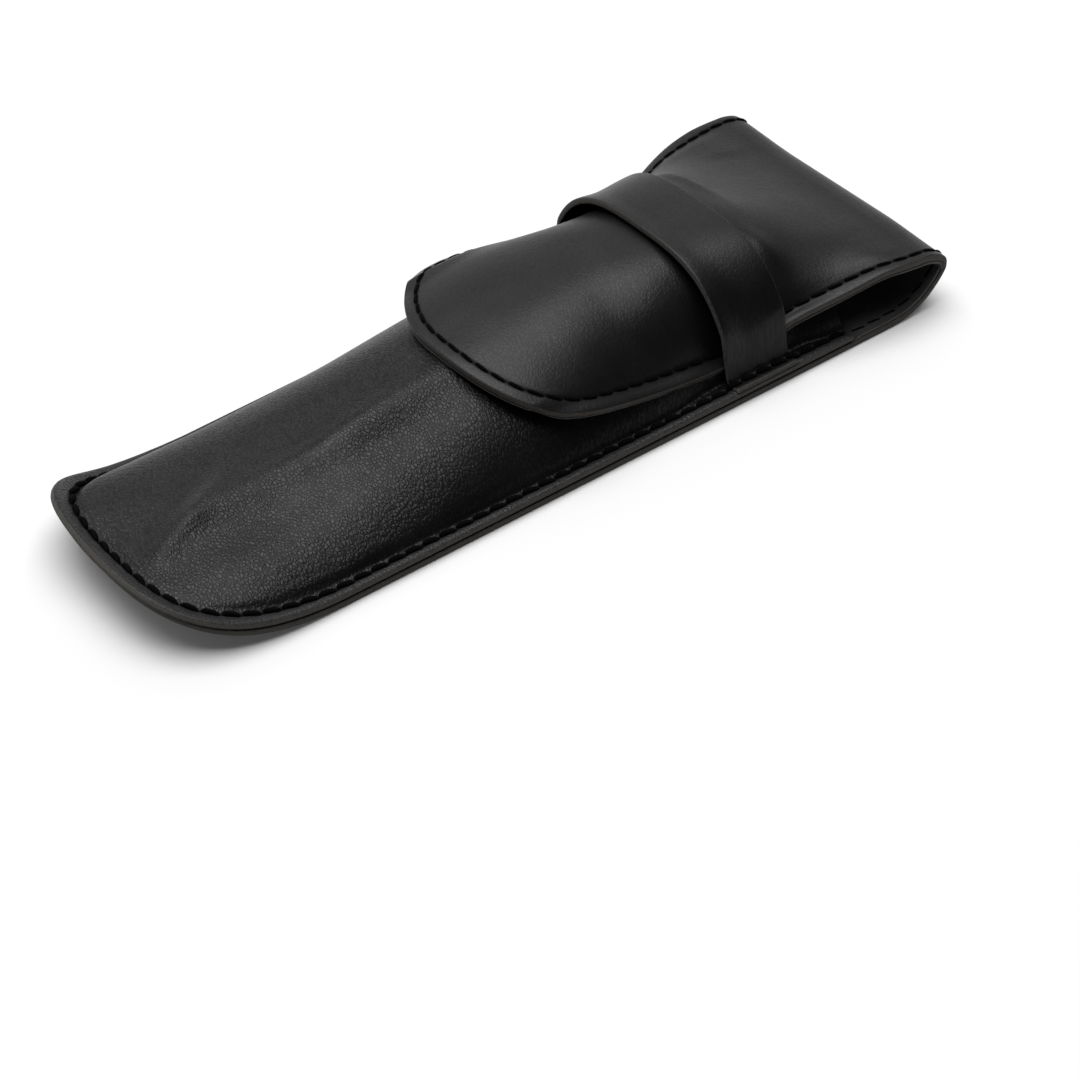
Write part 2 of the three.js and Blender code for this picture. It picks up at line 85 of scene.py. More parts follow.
EDGE_FAR = [[60, 13.2], [68, 12.9], [75, 14.2], [86, 14.7], [98.5, 12.2], [105, 9.6], [112, 7.2], [120, 7.0], [125, 8.2], [129, 10.2], [133, 12.0], [138, 13.2], [143.8, 14.1], [149.5, 13.9], [153.7, 13.7], [158, 13.4]]
FLAP_W = [[84, 23.6], [88, 23.7], [98, 23.6], [112, 23.4], [126, 23.7], [131, 24.6], [137, 25.7], [146, 27.0], [152, 27.9], [155.5, 28.06], [162, 28.15]]


def pchip(table):
    x, y = np.array(table, float).T
    h = np.diff(x)
    s = np.diff(y) / h
    m = np.zeros(len(x))
    m[0], m[-1] = s[0], s[-1]
    for i in range(1, len(x) - 1):
        if s[i - 1] * s[i] > 0:
            a, b = 2 * h[i] + h[i - 1], h[i] + 2 * h[i - 1]
            m[i] = (a + b) / (a / s[i - 1] + b / s[i])

    def f(v):
        v = np.clip(np.asarray(v, float), x[0], x[-1])
        i = np.clip(np.searchsorted(x, v, "right") - 1, 0, len(x) - 2)
        t = (v - x[i]) / h[i]
        return (
            (2 * t**3 - 3 * t**2 + 1) * y[i]
            + (t**3 - 2 * t**2 + t) * h[i] * m[i]
            + (-2 * t**3 + 3 * t**2) * y[i + 1]
            + (t**3 - t**2) * h[i] * m[i + 1]
        )

    return f


def eased(table, sigma):
    """The same curve with its kinks in curvature smoothed away, so that gloss runs evenly along it."""
    f = pchip(table)
    lo, hi, step = table[0][0], table[-1][0], 0.1
    x = np.arange(lo, hi + step / 2, step)
    y = f(x)
    n = int(4 * sigma / step)
    k = np.exp(-0.5 * (np.arange(-n, n + 1) * step / sigma) ** 2)
    k /= k.sum()
    pad = np.concatenate([2 * y[0] - y[n:0:-1], y, 2 * y[-1] - y[-2 : -n - 2 : -1]])
    z = np.convolve(pad, k, "valid")
    z += (y[0] - z[0]) * (x[-1] - x) / (x[-1] - x[0]) + (y[-1] - z[-1]) * (x - x[0]) / (x[-1] - x[0])
    return lambda v: np.interp(np.asarray(v, float), x, z)


dome, crown, flap_w = eased(DOME, 2.2), eased(CROWN, 2.0), eased(FLAP_W, 1.5)
edge_near, edge_far, seam_near, seam_far = (eased(t, 2.2) for t in (EDGE_NEAR, EDGE_FAR, SEAM_NEAR, SEAM_FAR))


def smooth(a, b, x):
    t = np.clip((np.asarray(x, float) - a) / (b - a), 0, 1)
    return t * t * (3 - 2 * t)


def half_w(x):
    return HALF_W_END + (HALF_W_FOLD - HALF_W_END) * np.asarray(x, float) / LENGTH


def lift(x, y=0.0):
    x = np.asarray(x, float)
    curl = 1.5 * np.clip(1 - x / 15, 0, 1) ** 2 + 3.3 * np.clip(1 - x / 24, 0, 1) ** 2 * smooth(0, 24, y)
    return END_LIFT * np.clip(1 - x / END_LEN, 0, 1) ** 2 + curl


def seam_in(x):
    """Stitch line in from the rim: the margin is wider round the closed end."""
    return SEAM + 0.9 * (1 - smooth(4, 32, x))


def outline(x, d):
    R, W = END_LEN - d, half_w(END_LEN) - d
    u = np.asarray(x, float) - d
    v = np.clip(u / R, 0, 1)
    end = W * (1 - (1 - v) ** END_POW) ** (1 / END_POW)
    return np.where(u <= 0, 0.0, np.where(u < R, end, half_w(x) - d))


def arch(t, p, q):
    return (1 - np.minimum(1, np.abs(t)) ** p) ** (1 / q)


def squeeze(x):
    return 1.5 * smooth(98, 111, x) * (1 - smooth(129, 137, x))


# smooth lattice noise with a fixed table, so that each run gives the same result
_TABLE = np.random.RandomState(20).rand(128, 128) * 2 - 1


def noise(x, y, seed=0):
    x, y = np.asarray(x, float), np.asarray(y, float)
    i, j = np.floor(x).astype(int), np.floor(y).astype(int)
    fx, fy = x - i, y - j
    fx, fy = fx**3 * (fx * (fx * 6 - 15) + 10), fy**3 * (fy * (fy * 6 - 15) + 10)
    g = lambda a, b: _TABLE[(a + seed * 17) % 128, (b + seed * 29) % 128]
    return (g(i, j) * (1 - fx) + g(i + 1, j) * fx) * (1 - fy) + (g(i, j + 1) * (1 - fx) + g(i + 1, j + 1) * fx) * fy


def bump(x, y, cx, cy, sx, sy, angle=0.0):
    """A soft round swelling, 1 at its middle."""
    c, s = math.cos(math.radians(angle)), math.sin(math.radians(angle))
    u, v = (x - cx) * c + (y - cy) * s, -(x - cx) * s + (y - cy) * c
    return np.exp(-((u / sx) ** 2) - (v / sy) ** 2)


# ------------------------------------------------------------------ main surfaces (outer faces)
def dome_height(x, y):
    W = outline(x, 2.5) - np.where(np.asarray(x) > 90, squeeze(x), 0)
    k, full, near = smooth(80, 106, x), (1 - smooth(20, 60, x)) * smooth(-2, 8, y), smooth(-1, 9, -np.asarray(y, float)) * (1 - smooth(84, 104, x))
    t = np.where(W > 0.01, y / np.maximum(W, 0.01), 1)
    return dome(x) * arch(t, 2.44 - 0.14 * k + 0.7 * full - 0.42 * near, 1.33 - 0.13 * k + 0.4 * full - 0.15 * near)


def front_face(x, y, d):
    """Outer face of the moulded front panel; d is the distance in from the rim."""
    d = d - (seam_in(x) - SEAM)
    h = dome_height(x, y) * smooth(2.1, 4.0, d)
    soft = smooth(3.0, 9.0, d)
    # slack in the moulded leather: low waves along the pouch and a shallow dished place at the round end
    wave = 0.16 * noise(x / 19 + 3, y / 9 + 5, 1) + 0.07 * noise(x / 8, y / 5, 2)
    # two soft folds that run in from the round end, and a crown line left of the middle
    u, v = (x - 5) * 0.9 + (y + 7.5) * 0.436, -(x - 5) * 0.436 + (y + 7.5) * 0.9
    fold_a = 1.0 * np.exp(-((v / 2.4) ** 2)) * smooth(-3, 5, u) * (1 - smooth(18, 34, u))
    line = -3.2 + 1.5 * np.exp(-(((x - 27) / 9) ** 2))
    fold_b = 0.95 * np.exp(-(((y - line) / 3.0) ** 2)) * smooth(9, 18, x) * (1 - smooth(50, 78, x))
    dish = -0.7 * np.exp(-(((y + 9.5) / 4.0) ** 2)) * smooth(12, 24, x) * (1 - smooth(50, 80, x))
    return lift(x, y) + RIM + h + soft * (wave + fold_a + fold_b + dish)


def side_profile(x, ay, w, c, zs, ze, slack):
    """Height across one side: an arch down to the stitch line, then a margin that stands out flatter to the edge."""
    k = smooth(70, 105, x)
    tight = smooth(96, 108, x) * (1 - smooth(122, 132, x))
    p = 2.6 + 0.4 * k - slack * (0.45 + 0.4 * k - 0.6 * tight)
    q = 1.35 + 0.15 * k - slack * (0.17 + 0.15 * k - 0.2 * tight)
    low = np.minimum(zs, c - 0.15)
    t_seam = (1 - ((low - 2.9) / (c - 2.9)) ** q) ** (1 / p)
    a = 2.9 + (c - 2.9) * arch(ay / (w - 2.4) * t_seam, p, q)
    a = a + (zs - low) * smooth(9, 25, ay)
    m = zs + (ze - zs) * np.clip((ay - w + 2.4) / 2.4, -0.8, 1.3) - 8 * (1 - smooth(7, 18, ay))
    soft = 0.42
    return soft * np.logaddexp(a / soft, m / soft) - soft * math.log(2) * np.exp(-(((ay - w + 2.4) / 1.5) ** 2))


def flap_face(x, y):
    c, w = crown(x), flap_w(x)
    near = side_profile(x, np.abs(y), w, c, seam_near(x), edge_near(x), 1.0)
    far = side_profile(x, np.abs(y), w, c, seam_far(x), edge_far(x), 0.0)
    z = np.where(y < 0, near, far)
    # the leather is pushed up a little against the keeper's right edge
    z = z + 0.8 * bump(x, y, 130.2, -13.5, 2.4, 4.0) + 0.6 * bump(x, y, 131.0, 12, 1.7, 9.0, 8) - 0.25 * bump(x, y, 137, 6, 6, 10, -20)
    return z


# side view of the fold's outer face: the back leaves the table early and turns over tightly at the top
X_RISE = 144.0
_F = np.array([(144, 0), (146, 0), (148, 0.03), (150, 0.15), (152.2, 0.55), (154.5, 1.4), (156.6, 2.6), (158.5, 4.2), (160.2, 6.1), (161.25, 7.9), (161.35, 9.2), (160.7, 10.5), (159.4, 11.6), (157.6, 12.4), (155.5, 12.85), (153, 13.15), (150, 13.75)])


def _fold_curve():
    s = np.concatenate([[0], np.cumsum(np.linalg.norm(np.diff(_F, axis=0), axis=1))])
    t = np.arange(0, s[-1], 0.02)
    c = np.stack([pchip(np.stack([s, _F[:, k]], -1))(t) for k in (0, 1)], -1)
    n = 45
    w = np.exp(-0.5 * (np.arange(-n, n + 1) / 20.0) ** 2)
    w /= w.sum()
    pad = np.concatenate([2 * c[0] - c[n:0:-1], c, 2 * c[-1] - c[-2 : -n - 2 : -1]])
    c = np.stack([np.convolve(pad[:, k], w, "valid") for k in (0, 1)], -1)
    s = np.concatenate([[0], np.cumsum(np.linalg.norm(np.diff(c, axis=0), axis=1))])
    i_top = np.argmin(np.abs(c[:, 0] - XF) + (c[:, 1] < 8) * 99)
    i_mid = np.argmin(np.abs(c[:, 1] - 7.6) + (c[:, 0] < 158) * 99)
    tan = np.gradient(c, s, axis=0)
    tan /= np.linalg.norm(tan, axis=1, keepdims=True)
    return s, c, np.stack([-tan[:, 1], tan[:, 0]], -1), s[i_mid], s[i_top]


_FS, _FC, _FN, S_MID, S_TOP = _fold_curve()
P_LOW = X_RISE + S_MID  # flat-pattern place of the middle of the fold, from below
P_HIGH = XF + S_TOP - S_MID  # and from above


def fold_at(s, depth, y=0.0):
    """Point of the fold's side view at length s along its outer face and that depth inside it; its corners are soft."""
    ay = np.abs(y)
    depth = depth + np.where(np.asarray(y) < 0, 0.75, -0.7) * smooth(12, 28.1, ay) * smooth(S_MID - 1.5, S_MID + 6, s)
    x, z = np.interp(s, _FS, _FC[:, 0]), np.interp(s, _FS, _FC[:, 1])
    nx, nz = np.interp(s, _FS, _FN[:, 0]), np.interp(s, _FS, _FN[:, 1])
    return x + nx * depth, z + nz * depth


def fold_down(p, y, z):
    """Back panel and lower half of the fold from its flat pattern; z is the depth in from the outer face."""
    fx, fz = fold_at(np.clip(p - X_RISE, 0, None), z, y)
    return np.stack([np.where(p > X_RISE, fx, p), y + 0 * fx, np.where(p > X_RISE, fz, z + lift(p, y))], -1)


# ------------------------------------------------------------------ grids that follow the rim
def rim_grid(hw, tip, focus, end, power, rim, inner, step, extra=(), start=0.0):
    """Stations run from end on one side round the tip to end on the other; columns run in from the rim to the middle.
    Returns flat points (n, m, 2), distance in from the rim (n, m) and length along the rim (n)."""
    R, W = focus - tip - start, float(hw(focus)) - start
    x1 = np.linspace(end, focus, 1500)
    a = np.linspace(math.pi / 2, 0, 4000)[1:]
    x = np.concatenate([x1, focus - R * np.cos(a) ** (2 / power)])
    y = np.concatenate([-(hw(x1) - start), -W * np.sin(a) ** (2 / power)])
    y[-1] = 0
    s = np.concatenate([[0], np.cumsum(np.hypot(np.diff(x), np.diff(y)))])
    at = np.arange(0, s[-1], step)
    at = np.unique(np.round(np.concatenate([at[:-1], [s[-1]], list(extra)]), 4))
    at = at[np.concatenate([[True], np.diff(at) > 0.02])]
    at[-1] = s[-1]
    px, py = np.interp(at, s, x), np.interp(at, s, y)
    tx, ty = np.gradient(x, s), np.gradient(y, s)
    nx, ny = np.interp(at, s, -ty), np.interp(at, s, tx)
    flip = np.where(ny < 0, -1, 1)
    nx, ny = nx * flip, ny * flip
    L = np.hypot(nx, ny)
    nx, ny = nx / L, ny / L
    nx[-1], ny[-1] = 1, 0
    mx = np.maximum(px, focus)
    rim = np.array(rim, float)
    X = px[:, None] + nx[:, None] * rim
    Y = py[:, None] + ny[:, None] * rim
    t = np.linspace(0, 1, inner + 1)[1:]
    X = np.concatenate([X, X[:, -1:] * (1 - t) + mx[:, None] * t], 1)
    Yi = Y[:, -1:] * (1 - t)
    Y = np.concatenate([Y, Yi], 1)
    reach = np.hypot(X[:, len(rim) - 1] - mx, Y[:, len(rim) - 1])
    D = np.concatenate([np.tile(rim, (len(at), 1)), rim[-1] + reach[:, None] * t], 1) + start
    Y[:, -1] = 0
    X = np.concatenate([X, X[-2::-1]])
    Y = np.concatenate([Y, -Y[-2::-1]])
    D = np.concatenate([D, D[-2::-1]])
    S = np.concatenate([at, 2 * s[-1] - at[-2::-1]])
    return np.stack([X, Y], -1), D, S


def normals(P, towards, fan=None):
    """Unit normals of a grid of points, all on the side that towards(P) points to. Grids whose last column is a
    middle line shared by both halves get matching normals there."""
    a, b = np.gradient(P, axis=0), np.gradient(P, axis=1)
    N = np.cross(a, b)
    L = np.linalg.norm(N, axis=-1, keepdims=True)
    N = N / np.maximum(L, 1e-12)
    N = np.where((N * towards(P)).sum(-1, keepdims=True) < 0, -N, N)
    if fan is not None:
        N[:, -1] = N[:, -2]
        N[:, -1] += N[::-1, -2]
        inside = fan(P[:, -1])
        if inside.any():
            N[inside, -1] = N[inside, -1].sum(0)
        N[:, -1] /= np.linalg.norm(N[:, -1], axis=-1, keepdims=True)
    return N


def rounded(e, r):
    """How far a face drops at distance e in from a cut edge of radius r."""
    e = np.clip(e, 0, r)
    return r - np.sqrt(np.maximum(r * r - (r - e) ** 2, 0))


# ------------------------------------------------------------------ mesh making
def to_frame(P):
    P = np.array(P, float)
    P[..., 0] -= SHIFT
    return P * 0.001


def pull_in(V):
    """The far side of the body is drawn in under the bulge between the round end and the tongue."""
    V = V.copy()
    V[..., 1] -= 1.0 * smooth(0, 26, V[..., 1]) * smooth(5, 18, V[..., 0]) * (1 - smooth(60, 108, V[..., 0]))
    return V


def make_mesh(name, V, F, attrs, materials, merge=True):
    me = bpy.data.meshes.new(name)
    V, F = np.asarray(V, float), np.asarray(F, int)
    if name.startswith(("front_", "back_", "body_")):
        V = pull_in(V)
    me.vertices.add(len(V))
    me.vertices.foreach_set("co", to_frame(V).astype(np.float32).ravel())
    me.loops.add(len(F) * 4)
    me.loops.foreach_set("vertex_index", F.astype(np.int32).ravel())
    me.polygons.add(len(F))
    me.polygons.foreach_set("loop_start", np.arange(0, len(F) * 4, 4, dtype=np.int32))
    me.update(calc_edges=True)
    for k, v in attrs.items():
        v = np.asarray(v, np.float32)
        kind = "FLOAT_VECTOR" if v.ndim == 2 else "FLOAT"
        at = me.attributes.new(k, kind, "POINT")
        at.data.foreach_set("vector" if v.ndim == 2 else "value", v.ravel())
    if merge:
        bm = bmesh.new()
        bm.from_mesh(me)
        bmesh.ops.remove_doubles(bm, verts=bm.verts, dist=2e-6)
        bmesh.ops.dissolve_degenerate(bm, edges=bm.edges, dist=1e-7)
        bmesh.ops.recalc_face_normals(bm, faces=bm.faces)
        bm.to_mesh(me)
        bm.free()
    me.polygons.foreach_set("use_smooth", [True] * len(me.polygons))
    me.validate()
    me.update()
    for m in materials:
        me.materials.append(m)
    o = bpy.data.objects.new(name, me)
    bpy.context.scene.collection.objects.link(o)
    return o


def grid_faces(n, m, at=0):
    i, j = np.meshgrid(np.arange(n - 1), np.arange(m - 1), indexing="ij")
    a = at + i * m + j
    return np.stack([a, a + m, a + m + 1, a + 1], -1).reshape(-1, 4)


def sheet_piece(name, T, B, materials, flat, E, side_cols=(0,), caps=(True, True), bulge=0.05, wear=0.22):
    """A thick sheet: top and bottom grids of points, joined by walls down the columns in side_cols and across the ends.
    flat holds flat-pattern coordinates for the grain, E the distance in from the nearest cut edge."""
    n, m = T.shape[:2]
    V = [T.reshape(-1, 3), B.reshape(-1, 3)]
    F = [grid_faces(n, m), grid_faces(n, m, n * m)]
    edge = [np.clip(1 - E / wear, 0, 1).ravel() * 0.75] * 2
    fl = [np.concatenate([flat, np.zeros((n, m, 1))], -1).reshape(-1, 3), np.concatenate([flat, np.full((n, m, 1), 7.0)], -1).reshape(-1, 3)]
    count = 2 * n * m

    def wall(top, bottom, out, f):
        nonlocal count
        k = len(top)
        rows = [None, None, None]
        for q, (t, b) in enumerate(((0.25, 1.0), (0.5, 1.2), (0.75, 1.0))):
            rows[q] = top * (1 - t) + bottom * t + out * bulge * b
        V.extend(rows)
        for q in range(3):
            edge.append(np.ones(k))
            fl.append(np.concatenate([f, np.full((k, 1), 2.0 + q)], -1))
        ids = [count + q * k + np.arange(k) for q in range(3)]
        count += 3 * k
        return ids

    def strip(a, b):
        F.append(np.stack([a[:-1], a[1:], b[1:], b[:-1]], -1))

    for col in side_cols:
        c = col % m
        nxt = c + 1 if c == 0 else c - 1
        out = T[:, c] - T[:, nxt]
        out = out / np.maximum(np.linalg.norm(out, axis=-1, keepdims=True), 1e-9)
        far = T[:, c] - T[:, c + 6 if c == 0 else c - 6]
        far = far / np.maximum(np.linalg.norm(far, axis=-1, keepdims=True), 1e-9)
        ids = wall(T[:, c], B[:, c], far, flat[:, c])
        chain = [np.arange(n) * m + c, *ids, n * m + np.arange(n) * m + c]
        for a, b in zip(chain[:-1], chain[1:], strict=True):
            strip(a, b)
    for k, cap in enumerate(caps):
        if cap:
            r = 0 if k == 0 else n - 1
            q = 6 if k == 0 else n - 7
            far = T[r] - T[q]
            far = far / np.maximum(np.linalg.norm(far, axis=-1, keepdims=True), 1e-9)
            ids = wall(T[r], B[r], far, flat[r])
            chain = [r * m + np.arange(m), *ids, n * m + r * m + np.arange(m)]
            for a, b in zip(chain[:-1], chain[1:], strict=True):
                strip(a, b)
    V = np.concatenate(V)
    return make_mesh(name, V, np.concatenate(F), {"flat": np.concatenate(fl), "edge": np.concatenate(edge)}, materials)


# ------------------------------------------------------------------ materials
def lin(c):
    c = c / 255.0
    return c / 12.92 if c <= 0.04045 else ((c + 0.055) / 1.055) ** 2.4


def rgb(r, g, b):
    return (lin(r), lin(g), lin(b), 1.0)


class Nodes:
    def __init__(self, name):
        self.mat = bpy.data.materials.new(name)
        self.mat.use_nodes = True
        self.t = self.mat.node_tree
        self.t.nodes.clear()
        self.out = self.t.nodes.new("ShaderNodeOutputMaterial")

    def put(self, kind, inputs=None, **props):
        n = self.t.nodes.new(kind)
        for k, v in props.items():
            setattr(n, k, v)
        for k, v in (inputs or {}).items():
            self.join(v, n.inputs[k])
        return n

    def join(self, v, socket):
        if hasattr(v, "is_output"):
            self.t.links.new(v, socket)
        elif isinstance(v, bpy.types.Node):
            self.t.links.new(v.outputs[0], socket)
        else:
            socket.default_value = v

    def math(self, op, a, b=0.0, c=0.0, clamp=False):
        n = self.t.nodes.new("ShaderNodeMath")
        n.operation, n.use_clamp = op, clamp
        for k, v in enumerate((a, b, c)):
            self.join(v, n.inputs[k])
        return n.outputs[0]

    def ramp(self, v, lo, hi, a=0.0, b=1.0):
        n = self.put("ShaderNodeMapRange", {"Value": v, "From Min": lo, "From Max": hi, "To Min": a, "To Max": b})
        n.interpolation_type = "SMOOTHSTEP"
        return n.outputs[0]

    def mix(self, f, a, b):
        n = self.put("ShaderNodeMix", data_type="RGBA")
        self.join(f, n.inputs[0])
        self.join(a, n.inputs[6])
        self.join(b, n.inputs[7])
        return n.outputs[2]

    def attr(self, name):
        return self.put("ShaderNodeAttribute", attribute_name=name)

    def scaled(self, vector, x, y, z):
        return self.put("ShaderNodeMapping", {"Vector": vector, "Scale": (x, y, z)}).outputs[0]

    def noise(self, vector, scale, detail=2.0, rough=0.5, distortion=0.0):
        return self.put("ShaderNodeTexNoise", {"Vector": vector, "Scale": scale, "Detail": detail, "Roughness": rough, "Distortion": distortion}).outputs[0]

    def voronoi(self, vector, scale, feature="F1", random=1.0, smoothness=0.3):
        n = self.put("ShaderNodeTexVoronoi", feature=feature)
        self.join(vector, n.inputs["Vector"])
        n.inputs["Scale"].default_value = scale
        n.inputs["Randomness"].default_value = random
        if "Smoothness" in n.inputs and feature == "SMOOTH_F1":
            n.inputs["Smoothness"].default_value = smoothness
        return n.outputs["Distance"]


def leather(name, ribs_amount=0.0, grain=1.0, pebble=1.0, base=(7, 7, 8), high=(12, 11, 12), rough=0.30, seam=True, spec=0.16):
    g = Nodes(name)
    flat = g.attr("flat").outputs["Vector"]
    edge = g.attr("edge").outputs["Fac"]
    # pores and pebbles of the grain, warped so that no cell repeats
    warp = g.put("ShaderNodeTexNoise", {"Vector": flat, "Scale": 0.55, "Detail": 2.0})
    wv = g.put("ShaderNodeVectorMath", {0: warp.outputs["Color"], 1: (0.5, 0.5, 0.5)}, operation="SUBTRACT").outputs[0]
    wv = g.put("ShaderNodeVectorMath", {0: wv, 1: (0.9, 0.9, 0.0)}, operation="MULTIPLY").outputs[0]
    pos = g.put("ShaderNodeVectorMath", {0: flat, 1: wv}, operation="ADD").outputs[0]
    cells = g.voronoi(g.scaled(pos, 2.0, 1.45, 1.0), 1.0, "SMOOTH_F1", 0.9, 0.2)
    creases = g.ramp(g.voronoi(g.scaled(pos, 2.0, 1.45, 1.0), 1.0, "DISTANCE_TO_EDGE", 0.9), 0.0, 0.22)
    fine = g.noise(pos, 5.0, 3.0, 0.62)
    pores = g.ramp(g.voronoi(g.scaled(pos, 1.9, 1.4, 1.0), 1.0, "F1", 0.9), 0.05, 0.36)
    patch = g.noise(flat, 0.055, 2.0, 0.5)
    strength = g.ramp(patch, 0.35, 0.68, 0.6, 1.0)
    h = g.math("MULTIPLY", cells, -1.0 * pebble)
    h = g.math("ADD", h, g.math("MULTIPLY", creases, 0.55 * pebble))
    h = g.math("ADD", h, g.math("MULTIPLY", pores, 0.40 * grain))
    h = g.math("ADD", h, g.math("MULTIPLY", fine, 0.30 * grain))
    h = g.math("MULTIPLY", h, strength)
    # raw edge: fibres running along the cut
    fibre = g.noise(g.scaled(flat, 2.2, 2.2, 9.0), 1.6, 4.0, 0.7)
    h = g.math("ADD", g.math("MULTIPLY", h, g.math("SUBTRACT", 1.0, edge)), g.math("MULTIPLY", fibre, g.math("MULTIPLY", edge, 0.9)))
    groove, rub_and_sheen = 0.0, None
    if seam:
        sm = g.attr("seam").outputs["Vector"]
        sep = g.put("ShaderNodeSeparateXYZ", {0: sm})
        s, d, inset = sep.outputs[0], sep.outputs[1], sep.outputs[2]
        off = g.math("DIVIDE", g.math("SUBTRACT", d, inset), 0.46)
        groove = g.math("POWER", 2.718, g.math("MULTIPLY", g.math("MULTIPLY", off, off), -1.0))
        if ribs_amount:
            # needle crimp: fine grooves square to the rim outside the stitch line
            jig = g.noise(g.scaled(sm, 0.5, 0.6, 0.0), 1.0, 2.0)
            ph = g.math("ADD", g.math("MULTIPLY", s, 9.5), g.math("MULTIPLY", jig, 22.0))
            ribs = g.math("MULTIPLY", g.math("SINE", ph), 0.5)
            mask = g.math("MULTIPLY", g.ramp(d, 0.15, 0.5), g.math("SUBTRACT", 1.0, g.ramp(g.math("SUBTRACT", d, inset), -0.7, 0.3)))
            h = g.math("ADD", h, g.math("MULTIPLY", g.math("MULTIPLY", ribs, mask), ribs_amount))
            rub_and_sheen = mask
    b = g.put("ShaderNodeBump", {"Height": h, "Strength": 1.0, "Distance": 0.000054})
    tone = g.noise(flat, 0.11, 3.0, 0.55)
    col = g.mix(g.ramp(tone, 0.3, 0.75), rgb(*base), rgb(*high))
    pit = g.math("SUBTRACT", 1.0, g.math("MULTIPLY", pores, creases))
    # painted shade: the grain's pores and crease lines are painted near-black in the colour
    col = g.mix(g.math("MULTIPLY", pit, 0.55 * pebble), col, rgb(2, 2, 2))
    if rub_and_sheen is not None:
        # the turned margin is painted a little lighter: partly rubbing, partly a painted sheen on the flat margin
        col = g.mix(g.math("MULTIPLY", rub_and_sheen, 0.55), col, rgb(33, 32, 33))
    raw = g.mix(g.ramp(fibre, 0.32, 0.66), rgb(40, 39, 37), rgb(76, 73, 69))
    col = g.mix(g.math("MULTIPLY", edge, 0.95), col, raw)
    if seam:
        # painted shade: the stitch groove is painted near-black
        col = g.mix(g.math("MULTIPLY", groove, 0.6), col, rgb(3, 3, 3))
    ro = g.math("ADD", rough, g.math("MULTIPLY", g.math("SUBTRACT", fine, 0.5), 0.12))
    ro = g.math("ADD", ro, g.math("MULTIPLY", pit, 0.10 * pebble))
    ro = g.math("ADD", ro, g.math("MULTIPLY", g.math("SUBTRACT", tone, 0.5), 0.10))
    ro = g.math("ADD", ro, g.math("MULTIPLY", edge, 0.32))
    # pores and creases hold no shine
    sp = g.math("SUBTRACT", spec, g.math("MULTIPLY", pit, spec * 0.4 * min(1.0, pebble + 0.15)))
    if seam:
        sp = g.math("MULTIPLY", sp, g.math("SUBTRACT", 1.0, g.math("MULTIPLY", groove, 0.7)))
    ro = g.math("ADD", ro, g.math("MULTIPLY", groove, 0.25), clamp=True)
    sh = g.put("ShaderNodeBsdfPrincipled", {"Base Color": col, "Roughness": ro, "Normal": b, "Specular IOR Level": sp})
    g.join(sh, g.out.inputs["Surface"])
    return g.mat


def suede(name, base=(14, 13, 13), high=(24, 22, 22)):
    g = Nodes(name)
    flat = g.attr("flat").outputs["Vector"]
    edge = g.attr("edge").outputs["Fac"]
    nap = g.noise(g.scaled(flat, 1.0, 1.6, 1.0), 2.6, 5.0, 0.68)
    soft = g.noise(flat, 0.16, 3.0, 0.5)
    h = g.math("ADD", g.math("MULTIPLY", nap, 1.0), g.math("MULTIPLY", soft, 0.5))
    b = g.put("ShaderNodeBump", {"Height": h, "Strength": 0.8, "Distance": 0.00012})
    col = g.mix(g.ramp(nap, 0.32, 0.7), rgb(*base), rgb(*high))
    col = g.mix(g.math("MULTIPLY", edge, 0.8), col, rgb(52, 49, 45))
    sh = g.put("ShaderNodeBsdfPrincipled", {"Base Color": col, "Roughness": 0.92, "Normal": b, "Specular IOR Level": 0.25, "Sheen Weight": 0.25, "Sheen Roughness": 0.5})
    g.join(sh, g.out.inputs["Surface"])
    return g.mat


def thread(name):
    g = Nodes(name)
    flat = g.attr("flat").outputs["Vector"]
    sep = g.put("ShaderNodeSeparateXYZ", {0: flat})
    ply = g.math("SINE", g.math("ADD", g.math("MULTIPLY", sep.outputs[0], 15.0), g.math("MULTIPLY", sep.outputs[1], 6.2832)))
    fuzz = g.noise(flat, 7.0, 3.0, 0.6)
    h = g.math("ADD", g.math("MULTIPLY", ply, 0.5), g.math("MULTIPLY", fuzz, 0.6))
    b = g.put("ShaderNodeBump", {"Height": h, "Strength": 0.9, "Distance": 0.00007})
    col = g.mix(g.ramp(ply, -0.9, 0.4), rgb(0.5, 0.5, 0.6), rgb(3, 3, 3))
    sh = g.put("ShaderNodeBsdfPrincipled", {"Base Color": col, "Roughness": 0.85, "Normal": b, "Specular IOR Level": 0.03})
    g.join(sh, g.out.inputs["Surface"])
    return g.mat


GRAINED = leather("leather_grained", ribs_amount=0.7, grain=1.0, pebble=1.0)
SMOOTH = leather("leather_smooth", grain=0.5, pebble=0.34, rough=0.34)
BACK = leather("leather_back", grain=0.7, pebble=0.5, seam=False, rough=0.47)
SUEDE = suede("lining_suede")
THREAD = thread("thread_black")

RIM_COLS = [0, 0.03, 0.08, 0.15, 0.24, 0.36, 0.52, 0.72, 0.95, 1.2, 1.4, 1.6, 1.75, 1.9, 2.05, 2.2, 2.4, 2.6, 2.75, 2.9, 3.1, 3.35, 3.65, 4.1, 4.6]
EDGE_R = 0.34


def seam_dip(s, d, inset=SEAM, depth=0.26, width=0.46, pitch=PITCH):
    """Groove pressed by the thread, deepest at the needle holes."""
    hole = np.abs(((s / pitch) % 1.0) - 0.5) * 2  # 1 at a hole, 0 in the middle of a stitch
    k = np.clip((hole - 0.72) / 0.28, 0, 1) ** 2
    return depth * (0.75 + 1.1 * k) * np.exp(-(((d - inset) / (width * (1 - 0.25 * k))) ** 2))


def rim_swell(d):
    """The turned-down margin outside the stitches stands a little proud, and the thread pulls in the rest."""
    return 0.10 * np.exp(-(((d - 0.85) / 0.55) ** 2))


# ------------------------------------------------------------------ front panel
def along(S, total=None):
    """Stitch phase along a rim, whole stitches from end to end."""
    total = S[-1] if total is None else total
    n = round(total / PITCH)
    return S * (n * PITCH / total)


